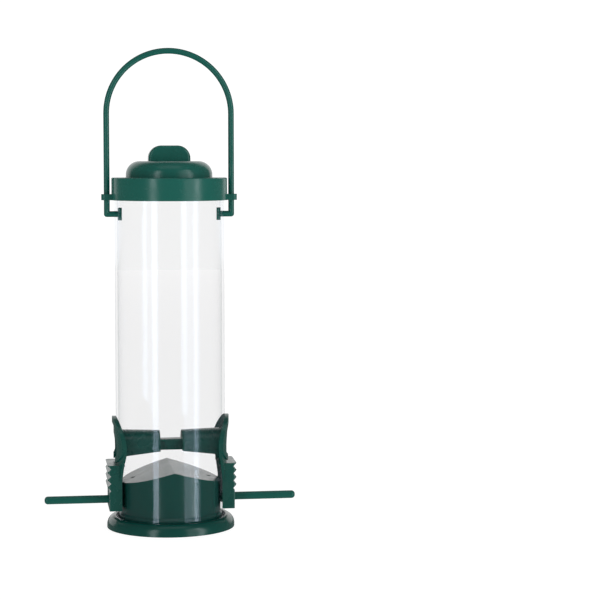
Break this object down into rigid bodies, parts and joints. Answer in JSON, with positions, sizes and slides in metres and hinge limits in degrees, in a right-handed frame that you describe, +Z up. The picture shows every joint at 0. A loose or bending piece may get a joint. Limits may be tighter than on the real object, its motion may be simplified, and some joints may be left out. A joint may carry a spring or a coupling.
{
  "type": "hanging bird feeder",
  "caption": "Upright clear tube seed feeder with a domed lid, swinging bail, hooded side feeding ports with toothed ledges, rod perches and a flared base tray.",
  "frame": {"origin": "centre of the foot ring, on the plane the feeder stands on", "axes": "+Z up along the tube, X along the two perches"},
  "size_m": [0.15, 0.076, 0.2843],
  "materials": {
    "green_plastic": "moulded dark green plastic, satin to gloss",
    "clear_plastic": "clear polished plastic"
  },
  "bodies": {
    "feeder_body": {"clear_tube": "clear_plastic", "base_tray": "green_plastic", "feeding_port_left": "green_plastic", "feeding_port_right": "green_plastic"},
    "bail": {"bail": "green_plastic"},
    "lid": {"lid": "green_plastic"},
    "perch_left": {"perch_left": "green_plastic"},
    "perch_right": {"perch_right": "green_plastic"}
  },
  "joints": [
    {"name": "bail_swing", "type": "hinge", "parent": "feeder_body", "child": "bail", "pos_m": [0, 0, 0.1866], "axis": [-1, 0, 0], "range_deg": [0, 150]},
    {"name": "lid_slide", "type": "slide", "parent": "feeder_body", "child": "lid", "axis": [0, 0, 1], "range_m": [0, 0.04]},
    {"name": "perch_left_pull", "type": "slide", "parent": "feeder_body", "child": "perch_left", "axis": [-1, 0, 0], "range_m": [0, 0.02]},
    {"name": "perch_right_pull", "type": "slide", "parent": "feeder_body", "child": "perch_right", "axis": [1, 0, 0], "range_m": [0, 0.02]}
  ]
}
